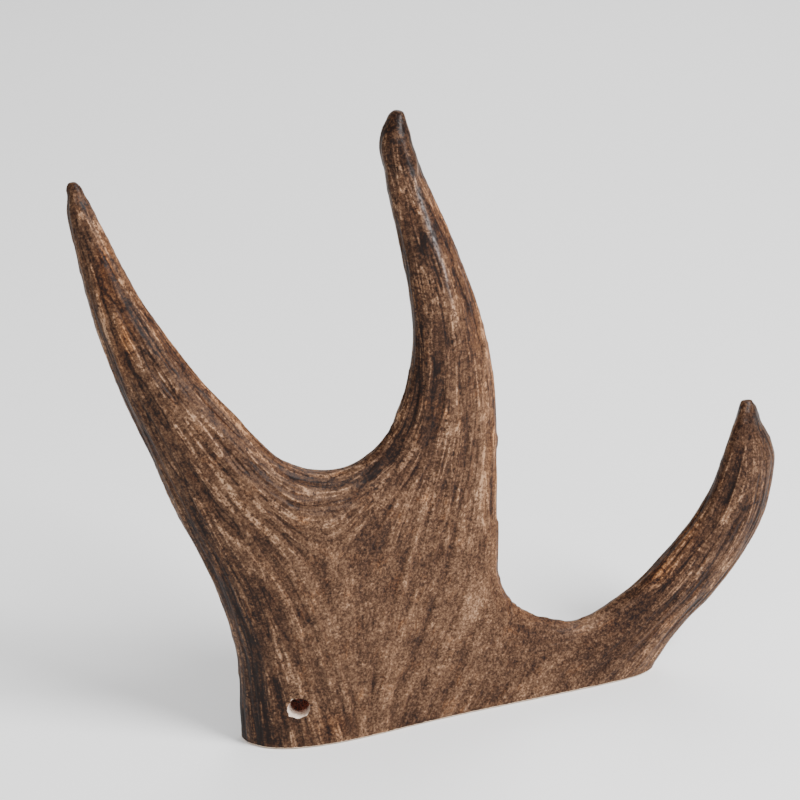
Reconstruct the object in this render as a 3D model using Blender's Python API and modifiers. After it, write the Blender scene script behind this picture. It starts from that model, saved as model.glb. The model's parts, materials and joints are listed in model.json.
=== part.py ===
"""Sawn antler palm with three tines and one drilled hanging hole.

Metres, +Z up. The sawn face lies on z = 0. The hole runs along Y, and +Y is the back.
Everything is first laid out in the plan of the palm, as (x, z) pairs in millimetres
counted from the hole, and then given depth along Y. At the end all of it slides so that
the origin is under the middle of the whole shape.
"""
import math

import bmesh
import bpy
import numpy as np

MM = 0.001

# Driving dimensions, in millimetres
WALL = 3.5                 # thickness of the compact outer layer
GAP = 0.3                  # clearance between the outer layer and the spongy core
CORE_RECESS = 0.5          # the core ends this far above the sawn face
CORE_REACH = 0.7           # share of each tine's length the core reaches; the rest is solid
HOLE_DIAMETER = 8.0
HOLE_X = 0.0
HOLE_Z = 18.5

BASE_LEFT = -25.0          # the sawn face runs from here ...
BASE_RIGHT = 147.0         # ... to here
BELOW_CUT = 16.0           # how far the body is modelled below the saw cut
ROOT_THICKNESS = 27.0      # palm thickness on the left, where it left the beam
BLADE_THICKNESS = 16.0     # palm thickness on the right
THIN_BY = 70.0             # x at which the palm has thinned to the blade thickness
EDGE_ROUNDING = 20.0       # the palm thins towards its free edges over this width

FRONT_DEPTH = 10.0         # y of the middle surface at the far left
SWEEP_START = 5.0          # x at which the palm begins to sweep back
SWEEP_SOFTNESS = 20.0
SWEEP_SLOPE = 0.43         # how far back it goes per millimetre to the right
LEAN_BACK = 18.0           # how far the highest point leans back
LEAN_HEIGHT = 250.0

LEFT_TINE_ROOT = (-34.0, 121.0)
LEFT_TINE_HEADING = 114.0  # degrees from +X, from the root to the tip
LEFT_TINE_LENGTH = 124.0
MIDDLE_TINE_ROOT = (60.0, 131.0)
MIDDLE_TINE_HEADING = 99.0
MIDDLE_TINE_LENGTH = 126.5
RIGHT_TINE_ROOT = (133.5, 12.0)
RIGHT_TINE_HEADING = 62.4
RIGHT_TINE_LENGTH = 117.0

# Each station of a tine: share of its length, bow to the right, half width, half thickness
LEFT_TINE = (
    (0.00, 0.0, 22.0, 12.0),
    (0.16, -3.3, 17.7, 12.0),
    (0.32, -6.0, 14.6, 11.5),
    (0.48, -7.0, 12.0, 10.5),
    (0.64, -6.5, 9.5, 9.0),
    (0.80, -5.0, 6.8, 6.5),
    (0.93, -2.2, 4.8, 4.6),
    (1.01, 0.3, 2.8, 2.8),
)
MIDDLE_TINE = (
    (0.00, 0.0, 21.0, 10.0),
    (0.15, 4.8, 17.3, 11.0),
    (0.30, 6.0, 14.0, 12.0),
    (0.45, 5.0, 12.0, 11.5),
    (0.61, 2.4, 10.0, 9.5),
    (0.76, -0.8, 8.2, 7.5),
    (0.91, -3.0, 6.6, 6.0),
    (1.01, -1.0, 3.8, 3.6),
)
RIGHT_TINE = (
    (0.00, 0.0, 24.0, 10.0),
    (0.17, 7.0, 17.5, 10.0),
    (0.34, 14.0, 16.5, 10.5),
    (0.50, 19.0, 15.6, 11.0),
    (0.67, 20.0, 15.2, 11.0),
    (0.83, 14.5, 12.2, 9.5),
    (0.95, 6.0, 7.2, 6.5),
    (1.01, 1.0, 4.0, 4.0),
)

# Free edges of the palm between the tines, in order along the edge
LEFT_EDGE = ((-25.0, 0.0), (-25.0, 25.0), (-26.0, 45.0), (-33.0, 68.0), (-43.0, 90.0))
LEFT_NOTCH = ((-6.0, 121.0), (10.0, 116.5), (25.5, 120.0))
RIGHT_NOTCH = ((98.5, 30.5), (86.5, 41.0), (80.5, 56.0), (80.0, 80.0), (80.5, 106.0))

# Swelling of the cages, because subdivision draws a surface inside its cage
RING_SWELL = 1.09
RIM_SWELL = 3.4
TIP_SWELL = 2.5

ROWS = 11
COLUMNS = 12
ROOT_CELLS = 4             # cells across the root of each tine
CORNER = 0.72              # where the slanting corners of a tine's section sit
SUBDIVISION = 1


def heading(degrees):
    """Direction in the plan for an angle measured from +X towards +Z."""
    angle = math.radians(degrees)
    return np.array([math.cos(angle), math.sin(angle)])


def right_of(direction):
    return np.array([direction[1], -direction[0]])


def middle_depth(x, z):
    """y of the surface halfway through the thickness."""
    reach = x - SWEEP_START
    ramp = 0.5 * (reach + math.sqrt(reach * reach + SWEEP_SOFTNESS ** 2))
    return FRONT_DEPTH + SWEEP_SLOPE * ramp + LEAN_BACK * (max(z, 0.0) / LEAN_HEIGHT) ** 2


def palm_half_thickness(x, from_edge):
    """Half the thickness at x, for a point this far from the nearest free edge."""
    share = min(max((x - HOLE_X) / (THIN_BY - HOLE_X), 0.0), 1.0)
    ease = share * share * (3.0 - 2.0 * share)
    full = 0.5 * (ROOT_THICKNESS + (BLADE_THICKNESS - ROOT_THICKNESS) * ease)
    short = max(1.0 - from_edge / EDGE_ROUNDING, 0.0)
    return full * math.sqrt(1.0 - short * short)


def distance_to(point, lines):
    """Shortest distance in the plan from a point to any of the polylines."""
    nearest = math.inf
    for line in lines:
        for start, stop in zip(line[:-1], line[1:]):
            run = stop - start
            share = min(max((point - start) @ run / (run @ run), 0.0), 1.0)
            nearest = min(nearest, float(np.linalg.norm(point - start - share * run)))
    return nearest


def tine_rings(root, degrees, length, stations, inset):
    """Rings as (centre, sideways direction, half width, half thickness), and the tip.

    With an inset the tine stops at the last station the core reaches.
    """
    ahead = heading(degrees)
    side = right_of(ahead)
    centres = [np.array(root) + ahead * (s[0] * length) + side * s[1] for s in stations]
    rings = []
    for i, station in enumerate(stations):
        before = centres[max(i - 1, 0)]
        after = centres[min(i + 1, len(centres) - 1)]
        tangent = (after - before) / np.linalg.norm(after - before)
        if inset > 0.0 and station[0] > CORE_REACH:
            return rings, centres[i] - tangent * inset
        width = (station[2] - inset) * RING_SWELL
        thick = (station[3] - inset) * RING_SWELL
        rings.append((centres[i], right_of(tangent), width, thick))
    return rings, np.array(root) + ahead * (length + TIP_SWELL)


def ring_points(ring):
    """Eight cage points: five across the front from left to right, then three at the back."""
    centre, side, width, thick = ring
    shape = ((-1, 0), (-CORNER, -CORNER), (0, -1), (CORNER, -CORNER), (1, 0),
             (CORNER, CORNER), (0, 1), (-CORNER, CORNER))
    points = []
    for across, deep in shape:
        x, z = centre + side * (across * width)
        points.append((x, middle_depth(x, z) + deep * thick, z))
    return points


def spread(points, count):
    """The polyline through points, cut into count equal lengths."""
    points = np.array(points, float)
    steps = np.linalg.norm(np.diff(points, axis=0), axis=1)
    along = np.concatenate([[0.0], np.cumsum(steps)])
    at = np.linspace(0.0, along[-1], count + 1)
    return np.stack([np.interp(at, along, points[:, k]) for k in (0, 1)], axis=1)


def push_out(line, distance, inward):
    """Moves the inner points of a line sideways, away from the point inward."""
    moved = line.copy()
    for i in range(1, len(line) - 1):
        tangent = line[i + 1] - line[i - 1]
        normal = right_of(tangent / np.linalg.norm(tangent))
        if normal @ (line[i] - inward) < 0.0:
            normal = -normal
        moved[i] = line[i] + normal * distance
    return moved


def blend_patch(bottom, top, left, right):
    """Coons patch of plan points through four boundary lines."""
    patch = np.zeros((ROWS + 1, COLUMNS + 1, 2))
    for row in range(ROWS + 1):
        v = row / ROWS
        for column in range(COLUMNS + 1):
            u = column / COLUMNS
            along = (1 - v) * bottom[column] + v * top[column]
            across = (1 - u) * left[row] + u * right[row]
            corners = ((1 - v) * ((1 - u) * bottom[0] + u * bottom[-1])
                       + v * ((1 - u) * top[0] + u * top[-1]))
            patch[row, column] = along + across - corners
    return patch


def relax(patch, rounds):
    """Evens out the inner points of the patch."""
    for _ in range(rounds):
        inner = 0.25 * (patch[2:, 1:-1] + patch[:-2, 1:-1] + patch[1:-1, 2:] + patch[1:-1, :-2])
        patch[1:-1, 1:-1] = 0.5 * patch[1:-1, 1:-1] + 0.5 * inner
    return patch


def antler_cage(name, inset, collection):
    """Closed quad cage of the palm and its tines, moved inwards by inset."""
    left = tine_rings(LEFT_TINE_ROOT, LEFT_TINE_HEADING, LEFT_TINE_LENGTH, LEFT_TINE, inset)
    middle = tine_rings(MIDDLE_TINE_ROOT, MIDDLE_TINE_HEADING, MIDDLE_TINE_LENGTH,
                        MIDDLE_TINE, inset)
    right = tine_rings(RIGHT_TINE_ROOT, RIGHT_TINE_HEADING, RIGHT_TINE_LENGTH,
                       RIGHT_TINE, inset)
    left_root = ring_points(left[0][0])
    middle_root = ring_points(middle[0][0])
    right_root = ring_points(right[0][0])

    def plan(point):
        return np.array([point[0], point[2]])

    heart = np.array([0.5 * (BASE_LEFT + BASE_RIGHT), 0.5 * MIDDLE_TINE_ROOT[1]])
    swell = RIM_SWELL - inset
    end = right_of(heading(90.0)) * swell

    low = -BELOW_CUT - inset
    low_left = np.array([BASE_LEFT, low]) - end
    low_right = np.array([BASE_RIGHT, low]) + end
    left_line = [np.array([BASE_LEFT, low])] + [np.array(p) for p in LEFT_EDGE]
    left_line = spread(left_line + [plan(left_root[0])], ROWS)
    left_line = push_out(left_line, swell, heart)
    left_line[0] = low_left
    notch_a = np.array([plan(left_root[4])] + [np.array(p) for p in LEFT_NOTCH]
                       + [plan(middle_root[0])])
    notch_a = push_out(notch_a, swell, np.array([10.0, 40.0]))
    notch_b = np.array([plan(right_root[0])] + [np.array(p) for p in RIGHT_NOTCH]
                       + [plan(middle_root[4])])
    notch_b = push_out(notch_b, swell, np.array([40.0, 20.0]))

    top = [plan(p) for p in left_root[:5]] + list(notch_a[1:-1])
    top = np.array(top + [plan(p) for p in middle_root[:5]])
    side = [low_right] + [plan(p) for p in reversed(right_root[:5])]
    side = np.array(side + list(notch_b[1:]))
    bottom = spread([low_left, low_right], COLUMNS)
    patch = relax(blend_patch(bottom, top, left_line, side), 6)
    free_edges = (left_line, notch_a, notch_b, side[:2])

    def root_of(row, column):
        """The tine section a boundary point of the patch belongs to, and its place in it."""
        if row == ROWS and column <= ROOT_CELLS:
            return left_root, column
        if row == ROWS and column >= COLUMNS - ROOT_CELLS:
            return middle_root, column - (COLUMNS - ROOT_CELLS)
        if column == COLUMNS and 1 <= row <= 1 + ROOT_CELLS:
            return right_root, 1 + ROOT_CELLS - row
        return None, 0

    body = bmesh.new()
    front = {}
    back = {}
    for row in range(ROWS + 1):
        for column in range(COLUMNS + 1):
            x, z = patch[row, column]
            y = middle_depth(x, z)
            section, place = root_of(row, column)
            key = (row, column)
            if section is not None:
                front[key] = body.verts.new([c * MM for c in section[place]])
                back[key] = front[key]
                if 0 < place < ROOT_CELLS:
                    behind = section[2 * ROOT_CELLS - place]
                    back[key] = body.verts.new([c * MM for c in behind])
                continue
            rim = row == ROWS or column in (0, COLUMNS)
            if rim:
                front[key] = body.verts.new((x * MM, y * MM, z * MM))
                back[key] = front[key]
                continue
            from_edge = distance_to(patch[row, column], free_edges)
            half = palm_half_thickness(x, from_edge + inset) - inset
            front[key] = body.verts.new((x * MM, (y - half) * MM, z * MM))
            back[key] = body.verts.new((x * MM, (y + half) * MM, z * MM))

    for row in range(ROWS):
        for column in range(COLUMNS):
            corners = ((row, column), (row, column + 1), (row + 1, column + 1),
                       (row + 1, column))
            body.faces.new([front[k] for k in corners])
            body.faces.new([back[k] for k in reversed(corners)])
    for column in range(COLUMNS):
        low = [back[(0, column)], back[(0, column + 1)],
               front[(0, column + 1)], front[(0, column)]]
        body.faces.new(list(dict.fromkeys(low)))

    roots = (
        (left, [(ROWS, c) for c in range(ROOT_CELLS + 1)]),
        (middle, [(ROWS, c) for c in range(COLUMNS - ROOT_CELLS, COLUMNS + 1)]),
        (right, [(r, COLUMNS) for r in range(1 + ROOT_CELLS, 0, -1)]),
    )
    for (rings, tip), keys in roots:
        loop = [front[k] for k in keys] + [back[k] for k in reversed(keys[1:-1])]
        grow_tine(body, loop, rings[1:], tip)

    bmesh.ops.recalc_face_normals(body, faces=body.faces)
    mesh = bpy.data.meshes.new(name)
    body.to_mesh(mesh)
    body.free()
    thing = bpy.data.objects.new(name, mesh)
    collection.objects.link(thing)
    soften = thing.modifiers.new("soft form", "SUBSURF")
    soften.levels = SUBDIVISION
    soften.render_levels = SUBDIVISION
    facets = thing.modifiers.new("facets", "TRIANGULATE")
    facets.quad_method = "SHORTEST_DIAGONAL"
    return thing


def grow_tine(body, loop, rings, tip):
    """Adds the rings of one tine to an open loop of eight vertices, and closes its tip."""
    for ring in rings:
        grown = [body.verts.new([c * MM for c in p]) for p in ring_points(ring)]
        for i in range(len(loop)):
            j = (i + 1) % len(loop)
            body.faces.new((loop[i], loop[j], grown[j], grown[i]))
        loop = grown
    x, z = tip
    point = body.verts.new((x * MM, middle_depth(x, z) * MM, z * MM))
    for i in range(0, len(loop), 2):
        body.faces.new((loop[i], loop[i + 1], loop[(i + 2) % len(loop)], point))


def box_below(name, height, collection):
    """Block whose top face lies at height, to take away everything under it."""
    wide = 2.0 * (BASE_RIGHT - BASE_LEFT) * MM
    bpy.ops.mesh.primitive_cube_add(size=1.0)
    block = bpy.context.object
    block.name = name
    block.scale = (wide, wide, 4.0 * BELOW_CUT * MM)
    block.location = (0.5 * (BASE_LEFT + BASE_RIGHT) * MM, 0.0,
                      (height - 2.0 * BELOW_CUT) * MM)
    move_to(block, collection)
    return block


def hole_drill(name, collection):
    """Cylinder along Y through the whole thickness at the hole."""
    bpy.ops.mesh.primitive_cylinder_add(vertices=32, radius=0.5 * HOLE_DIAMETER * MM,
                                        depth=4.0 * ROOT_THICKNESS * MM)
    drill = bpy.context.object
    drill.name = name
    drill.rotation_euler = (math.radians(90.0), 0.0, 0.0)
    drill.location = (HOLE_X * MM, middle_depth(HOLE_X, HOLE_Z) * MM, HOLE_Z * MM)
    move_to(drill, collection)
    return drill


def move_to(thing, collection):
    for owner in list(thing.users_collection):
        owner.objects.unlink(thing)
    collection.objects.link(thing)


def cut_away(thing, cutter, label):
    """Subtracts the cutter and keeps the cutter out of the picture."""
    cut = thing.modifiers.new(label, "BOOLEAN")
    cut.operation = "DIFFERENCE"
    cut.solver = "EXACT"
    cut.object = cutter
    cutter.hide_render = True
    cutter.display_type = "WIRE"


def centre_on_origin(outline, things):
    """Slides everything in X and Y until the outline stands centred on the origin."""
    graph = bpy.context.evaluated_depsgraph_get()
    shape = outline.evaluated_get(graph)
    corners = np.array([tuple(shape.matrix_world @ v.co) for v in shape.data.vertices])
    middle = 0.5 * (corners.min(axis=0) + corners.max(axis=0))
    for thing in things:
        thing.location.x -= middle[0]
        thing.location.y -= middle[1]


def surface(name, color, roughness):
    material = bpy.data.materials.new(name)
    material.use_nodes = True
    shader = material.node_tree.nodes["Principled BSDF"]
    shader.inputs["Base Color"].default_value = (*color, 1.0)
    shader.inputs["Roughness"].default_value = roughness
    return material


def build():
    for thing in list(bpy.data.objects):
        bpy.data.objects.remove(thing)
    scene = bpy.context.scene
    palm = bpy.data.collections.new("antler_palm")
    cutters = bpy.data.collections.new("antler_palm_cutters")
    scene.collection.children.link(palm)
    scene.collection.children.link(cutters)

    cortex = antler_cage("cortex", 0.0, palm)
    cavity = antler_cage("core_space", WALL, cutters)
    core = antler_cage("spongy_core", WALL, palm)
    clearance = core.modifiers.new("clearance", "DISPLACE")
    clearance.direction = "NORMAL"
    clearance.mid_level = 0.0
    clearance.strength = -GAP * MM
    drill = hole_drill("hanging_hole_drill", cutters)

    cut_away(cortex, cavity, "space for the core")
    cut_away(cortex, box_below("saw_cut", 0.0, cutters), "saw cut")
    cut_away(cortex, drill, "hanging hole")
    cut_away(core, box_below("core_saw_cut", CORE_RECESS, cutters), "saw cut")
    cut_away(core, drill, "hanging hole")

    cortex.data.materials.append(surface("compact_antler", (0.22, 0.13, 0.075), 0.5))
    core.data.materials.append(surface("spongy_antler", (0.16, 0.06, 0.035), 0.85))
    for thing in (cortex, core):
        for face in thing.data.polygons:
            face.use_smooth = True
    centre_on_origin(cortex, list(palm.objects) + list(cutters.objects))


build()
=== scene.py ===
"""Visual model of a sawn antler palm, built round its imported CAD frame.

Metres, +Z up. The dense outer surface comes from the frame's cortex node. Growth lines run
along its free edges and fan out at the sawn base, and they drive both relief and colour.
"""
import json
import math
from types import SimpleNamespace

import bmesh
import bpy
import numpy as np
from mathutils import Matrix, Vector
from mathutils.bvhtree import BVHTree


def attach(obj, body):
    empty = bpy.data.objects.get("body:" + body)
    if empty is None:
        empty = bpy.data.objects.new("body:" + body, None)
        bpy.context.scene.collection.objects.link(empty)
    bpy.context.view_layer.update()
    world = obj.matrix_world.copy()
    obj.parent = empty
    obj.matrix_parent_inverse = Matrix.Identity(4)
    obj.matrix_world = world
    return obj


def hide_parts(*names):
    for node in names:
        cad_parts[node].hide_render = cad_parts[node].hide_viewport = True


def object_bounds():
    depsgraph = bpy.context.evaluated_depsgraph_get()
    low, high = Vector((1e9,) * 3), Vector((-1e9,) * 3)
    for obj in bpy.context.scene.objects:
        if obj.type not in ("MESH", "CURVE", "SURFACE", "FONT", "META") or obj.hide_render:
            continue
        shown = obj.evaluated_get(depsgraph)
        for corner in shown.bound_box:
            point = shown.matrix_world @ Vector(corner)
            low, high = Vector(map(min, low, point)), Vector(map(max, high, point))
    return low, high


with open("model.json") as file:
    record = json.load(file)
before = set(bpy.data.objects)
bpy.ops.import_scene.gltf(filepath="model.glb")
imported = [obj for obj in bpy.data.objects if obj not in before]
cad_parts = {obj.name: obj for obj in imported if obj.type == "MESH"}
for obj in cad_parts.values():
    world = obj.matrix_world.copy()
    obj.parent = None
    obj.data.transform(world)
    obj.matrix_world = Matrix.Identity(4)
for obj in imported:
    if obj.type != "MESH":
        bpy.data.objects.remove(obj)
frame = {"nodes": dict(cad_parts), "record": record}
cad_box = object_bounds()
record = frame["record"]

MM = 0.001
WELD = 1e-6

# The camera stands in front of the convex face and looks slightly down
AIM = (-0.0164, -0.0213, 0.1425)
CAMERA_DISTANCE = 1.067
CAMERA_ELEVATION = 22.0
CAMERA_LENS = 120.0

# The dense surface
FOOT = 6.0 * MM            # the body is lengthened below the saw cut while it is shaped
VOXEL = 2.1 * MM
SMOOTHING_ROUNDS = 20
SUBDIVISIONS = 2
FINE_ROUNDS = 8

# Growth lines
GRID = 1.5 * MM
RELAX_ROUNDS = 1500
RIDGE_HEIGHT = 0.24 * MM
GRAIN_HEIGHT = 0.10 * MM
TRACE_STEP = 0.8 * MM
TRACE_STEPS = 30           # each way from a point
ANCHOR_EVERY = 5           # steps between the places the paint reads its fibres from
ANCHORS = 3                # each way
# Streaks along the lines: width, reach along the line, and seed of their noise
RIDGE_STREAKS = (2.6 * MM, 22.0 * MM, 1)
GRAIN_STREAKS = (1.1 * MM, 10.0 * MM, 2)

# Sawn edge
CHAMFER = 0.9 * MM


def opening_middle(name):
    """Middle of one of the record's stated openings."""
    for opening in record["physics"]["openings"]:
        if opening["name"] == name:
            low, high = opening["box_m"]
            return 0.5 * (np.array(low) + np.array(high))
    raise ValueError(name)


HOLE_RADIUS = 4.0 * MM
hole = opening_middle("hanging_hole")


def vectors_of(mesh, field):
    flat = np.empty(len(mesh.vertices) * 3, np.float32)
    mesh.vertices.foreach_get(field, flat)
    return flat.reshape(-1, 3).astype(float)


def points_of(mesh):
    return vectors_of(mesh, "co")


def normals_of(mesh):
    return vectors_of(mesh, "normal")


def set_points(mesh, points):
    mesh.vertices.foreach_set("co", points.astype(np.float32).ravel())
    mesh.update()


def new_object(name, mesh):
    thing = bpy.data.objects.new(name, mesh)
    bpy.context.scene.collection.objects.link(thing)
    return thing


def baked(thing):
    """Mesh of an object with its modifiers applied; the modifiers are removed."""
    graph = bpy.context.evaluated_depsgraph_get()
    mesh = bpy.data.meshes.new_from_object(thing.evaluated_get(graph))
    thing.modifiers.clear()
    old = thing.data
    thing.data = mesh
    bpy.data.meshes.remove(old)
    return mesh


def welded(node):
    """Copy of a node's mesh with the points of neighbouring faces joined."""
    shape = bmesh.new()
    shape.from_mesh(node.data)
    bmesh.ops.remove_doubles(shape, verts=shape.verts, dist=WELD)
    shape.normal_update()
    return shape


def hole_distance(point):
    """Distance of a point from the axis of the hanging hole."""
    return math.hypot(point[0] - hole[0], point[2] - hole[2])


def on_base(vert):
    return vert.co.z < 10 * WELD


def reached_from(start):
    """Every vertex that edges join to the start."""
    reached = {start}
    waiting = [start]
    while waiting:
        vert = waiting.pop()
        for edge in vert.link_edges:
            other = edge.other_vert(vert)
            if other not in reached:
                reached.add(other)
                waiting.append(other)
    return reached


def split_shell(node):
    """The shell node without its sawn face and hole walls, as (outside, cavity) meshes."""
    shape = welded(node)
    cut = []
    for face in shape.faces:
        in_hole = all(hole_distance(v.co) < 1.01 * HOLE_RADIUS for v in face.verts)
        if in_hole or all(on_base(v) for v in face.verts):
            cut.append(face)
    bmesh.ops.delete(shape, geom=cut, context="FACES")
    outer = reached_from(max(shape.verts, key=lambda v: v.co.z))
    outside = shape.copy()
    is_inner = [v not in outer for v in shape.verts]
    inner = [v for v, inside in zip(outside.verts, is_inner) if inside]
    bmesh.ops.delete(outside, geom=inner, context="VERTS")
    bmesh.ops.delete(shape, geom=list(outer), context="VERTS")
    return outside, shape


def closed_below(shape, drop):
    """Lengthens the open foot of a surface by drop and closes every opening."""
    low = [e for e in shape.edges if e.is_boundary and all(on_base(v) for v in e.verts)]
    grown = bmesh.ops.extrude_edge_only(shape, edges=low)
    for item in grown["geom"]:
        if isinstance(item, bmesh.types.BMVert):
            item.co.z -= drop
    bmesh.ops.holes_fill(shape, edges=[e for e in shape.edges if e.is_boundary], sides=0)
    bmesh.ops.recalc_face_normals(shape, faces=shape.faces)
    return shape


def to_mesh(name, shape):
    mesh = bpy.data.meshes.new(name)
    shape.to_mesh(mesh)
    shape.free()
    return mesh


class Links:
    """Means over each vertex's neighbours along the edges of a mesh."""

    def __init__(self, mesh):
        ends = np.empty(len(mesh.edges) * 2, np.int32)
        mesh.edges.foreach_get("vertices", ends)
        self.a, self.b = ends.reshape(-1, 2).T
        self.size = len(mesh.vertices)
        self.count = (np.bincount(self.a, minlength=self.size)
                      + np.bincount(self.b, minlength=self.size))

    def mean(self, points):
        total = np.empty_like(points)
        for k in range(3):
            total[:, k] = (np.bincount(self.a, points[self.b, k], self.size)
                           + np.bincount(self.b, points[self.a, k], self.size))
        return total / self.count[:, None]


SHRINK = 0.6
SWELL = -0.62


def taubin(mesh, rounds):
    """Smooths facets away without shrinking the shape."""
    points = points_of(mesh)
    links = Links(mesh)
    for step in range(2 * rounds):
        factor = SHRINK if step % 2 == 0 else SWELL
        points += factor * (links.mean(points) - points)
    set_points(mesh, points)


# Balls that fill out the blunt ends of the tines: x, y, z and radius (mm)
TIP_BALLS = ((-141.9, -25.5, 233.2, 3.8), (-17.8, -7.2, 255.0, 4.7), (-18.2, -8.0, 249.5, 6.1),
             (-18.3, -9.0, 244.5, 7.0), (-17.3, -9.5, 241.0, 7.0), (-15.8, -10.0, 237.6, 7.0),
             (130.0, 41.8, 115.2, 3.2), (132.5, 41.8, 115.2, 3.2))
TOP_BALLS = (0, 1, 6)      # the ones at the very ends
SUNK = 0.9                 # the tine ends inside its ball, at this share of the radius
BLUNT_REACH = 6.0 * MM
BLUNT_ROUNDS = 8
BLUNT_FACTOR = 0.5

# Small pushes of the outline, in plan: x, z, reach, move in x, move in z (mm)
NUDGES = ((-20, 128, 12, -1.2, 1.2), (22.5, 127, 14, 0.6, 0.0), (22.7, 101, 16, 0.9, 0.0),
          (23, 74, 14, 1.3, 0.0), (62, 31, 13, 0.2, -1.3), (84, 42, 13, 0.8, -1.2),
          (107, 18, 11, -1.0, 0.7), (97, 8, 10, -1.2, 0.3), (122.5, 93, 12, -0.9, 0.2),
          (138.6, 107, 8, -1.9, 0.0), (144, 90, 7, 0.9, 0.0), (-79, 10, 18, -2.0, 0.0),
          (-78, 46, 14, -0.6, 0.0), (-144, 225, 10, -1.3, 0.0))
NUDGE_FLOOR = 4.0 * MM     # the moves in z fade out below this height

# Crest down the front of the middle tine: x, z and height (mm)
CREST = ((-15.5, 248.0, 0.0), (-11.9, 236.0, 0.8), (-6.7, 219.0, 1.3), (-3.5, 209.5, 1.4),
         (1.5, 195.0, 1.0), (4.6, 181.0, 0.5), (8.1, 167.0, 0.0))
CREST_REACH = 4.0 * MM     # of the raised form
POLISH_AND_HIGHLIGHT_REACH = 1.0 * MM      # of the polished line on top of it, which also carries a painted highlight


def with_tip_balls(shape):
    """Adds the balls, and presses whatever stands above the topmost ones down into them."""
    for k in TOP_BALLS:
        x, y, z, radius = (c * MM for c in TIP_BALLS[k])
        near = [v for v in shape.verts
                if v.co.z > z and math.hypot(v.co.x - x, v.co.y - y) < 3.0 * radius]
        top = max(v.co.z for v in near)
        for vert in near:
            vert.co.z = z + (vert.co.z - z) * min(1.0, SUNK * radius / (top - z))
    for x, y, z, radius in TIP_BALLS:
        made = bmesh.ops.create_icosphere(shape, subdivisions=3, radius=radius * MM)
        bmesh.ops.translate(shape, verts=made["verts"], vec=(x * MM, y * MM, z * MM))
    return shape


def blunt(mesh):
    """Rounds the very ends of the tines."""
    points = points_of(mesh)
    links = Links(mesh)
    share = np.zeros(len(points))
    for k in TOP_BALLS:
        away = np.linalg.norm(points - np.array(TIP_BALLS[k][:3]) * MM, axis=1)
        share = np.maximum(share, np.clip(1.5 - away / BLUNT_REACH, 0.0, 1.0))
    for _ in range(BLUNT_ROUNDS):
        points += BLUNT_FACTOR * share[:, None] * (links.mean(points) - points)
    set_points(mesh, points)


def nudge(mesh):
    """Moves the outline by the NUDGES."""
    points = points_of(mesh)
    moved = points.copy()
    for x, z, reach, move_x, move_z in NUDGES:
        away = np.hypot(points[:, 0] - x * MM, points[:, 2] - z * MM) / (reach * MM)
        share = np.exp(-away ** 2)
        moved[:, 0] += share * move_x * MM
        moved[:, 2] += share * move_z * MM * np.clip(points[:, 2] / NUDGE_FLOOR, 0.0, 1.0)
    set_points(mesh, moved)


def crest_height(points, normals, reach):
    """Height of the middle tine's crest over its front, fading over the reach."""
    nearest = np.full(len(points), np.inf)
    height = np.zeros(len(points))
    for (x0, z0, h0), (x1, z1, h1) in zip(CREST[:-1], CREST[1:]):
        start = np.array([x0, z0]) * MM
        run = np.array([x1, z1]) * MM - start
        offset = points[:, (0, 2)] - start
        share = np.clip(offset @ run / (run @ run), 0.0, 1.0)
        away = np.linalg.norm(offset - share[:, None] * run, axis=1)
        closer = away < nearest
        nearest = np.where(closer, away, nearest)
        height = np.where(closer, (h0 + share * (h1 - h0)) * MM, height)
    facing = np.clip(-2.0 * normals[:, 1], 0.0, 1.0)
    return facing * height * np.exp(-nearest / reach)


def dense_skin(outside):
    """Fine, smooth, closed surface of the whole body, still without cut or hole."""
    body = with_tip_balls(closed_below(outside, FOOT))
    skin = new_object("antler_skin", to_mesh("antler_skin", body))
    remesh = skin.modifiers.new("even", "REMESH")
    remesh.mode = "VOXEL"
    remesh.voxel_size = VOXEL
    taubin(baked(skin), SMOOTHING_ROUNDS)
    blunt(skin.data)
    nudge(skin.data)
    finer = skin.modifiers.new("finer", "SUBSURF")
    finer.levels = SUBDIVISIONS
    finer.render_levels = SUBDIVISIONS
    taubin(baked(skin), FINE_ROUNDS)
    return skin


PLAN_BORDER = 4 * GRID
MIDDLE_ROUNDS = 40


class Plan:
    """Square grid over the front view (x and z), with values kept per cell as arrays [x, z]."""

    def __init__(self, points):
        low = points[:, (0, 2)].min(axis=0) - PLAN_BORDER
        high = points[:, (0, 2)].max(axis=0) + PLAN_BORDER
        self.low = low
        self.shape = tuple(np.ceil((high - low) / GRID).astype(int) + 1)
        cells = np.rint((points[:, (0, 2)] - low) / GRID).astype(int)
        flat = cells[:, 0] * self.shape[1] + cells[:, 1]
        front = np.full(self.shape, np.inf).ravel()
        back = np.full(self.shape, -np.inf).ravel()
        np.minimum.at(front, flat, points[:, 1])
        np.maximum.at(back, flat, points[:, 1])
        self.inside = np.isfinite(front).reshape(self.shape)
        front = np.where(self.inside, front.reshape(self.shape), 0.0)
        back = np.where(self.inside, back.reshape(self.shape), 0.0)
        middle = 0.5 * (front + back)
        self.middle = spread_out(middle, self.inside, MIDDLE_ROUNDS)

    def look(self, field, x, z):
        """Bilinear value of a field at plan points."""
        u = np.clip((x - self.low[0]) / GRID, 0.0, self.shape[0] - 1.001)
        v = np.clip((z - self.low[1]) / GRID, 0.0, self.shape[1] - 1.001)
        i = u.astype(int)
        j = v.astype(int)
        u = u - i
        v = v - j
        return ((1 - u) * (1 - v) * field[i, j] + u * (1 - v) * field[i + 1, j]
                + (1 - u) * v * field[i, j + 1] + u * v * field[i + 1, j + 1])

    def centres(self):
        x = self.low[0] + GRID * np.arange(self.shape[0])
        z = self.low[1] + GRID * np.arange(self.shape[1])
        return np.meshgrid(x, z, indexing="ij")


def neighbours(field):
    """Sum of the four cells round each cell."""
    padded = np.pad(field, 1, mode="edge")
    return padded[:-2, 1:-1] + padded[2:, 1:-1] + padded[1:-1, :-2] + padded[1:-1, 2:]


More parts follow.
